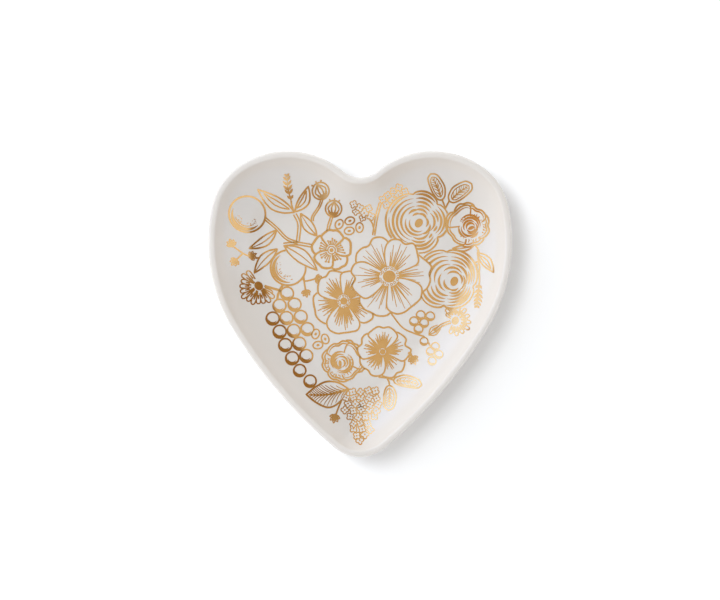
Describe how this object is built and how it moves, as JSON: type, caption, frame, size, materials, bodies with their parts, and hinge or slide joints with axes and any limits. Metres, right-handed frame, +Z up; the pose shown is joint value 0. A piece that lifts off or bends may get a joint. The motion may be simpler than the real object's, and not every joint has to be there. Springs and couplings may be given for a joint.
{
  "type": "heart-shaped trinket dish",
  "caption": "Shallow open heart-shaped ring dish in glazed white porcelain, with rounded sloping walls, a soft rim, a foot ring and a gold line print of flowers and fruit inside",
  "frame": {"origin": "centre of the dish's box, on the plane that the foot ring rests on", "axes": "+Z up out of the hollow, the tip of the heart towards -Y and its cleft towards +Y"},
  "size_m": [0.1078, 0.1084, 0.0152],
  "materials": {
    "bisque": "matt unglazed porcelain",
    "glaze": "glossy clear glaze, slightly warm white",
    "gold": "bright fired gold lustre"
  },
  "bodies": {
    "root": {"porcelain_body": "bisque", "glaze_coat": "glaze", "recess_glaze": "glaze", "orchard_fruit_print": "gold", "leaf_sprig_print": "gold", "poppy_pod_print": "gold", "blossom_print": "gold", "ranunculus_print": "gold", "top_leaf_print": "gold", "rose_print": "gold", "side_sprig_print": "gold", "peony_print": "gold", "anemone_print": "gold", "star_flower_print": "gold", "plum_print": "gold", "daisy_print": "gold", "grape_print": "gold", "pansy_print": "gold", "small_rose_print": "gold", "viola_print": "gold", "berry_spray_print": "gold", "aster_print": "gold", "lilac_print": "gold", "broad_leaf_print": "gold", "tail_leaf_print": "gold"}
  },
  "joints": []
}
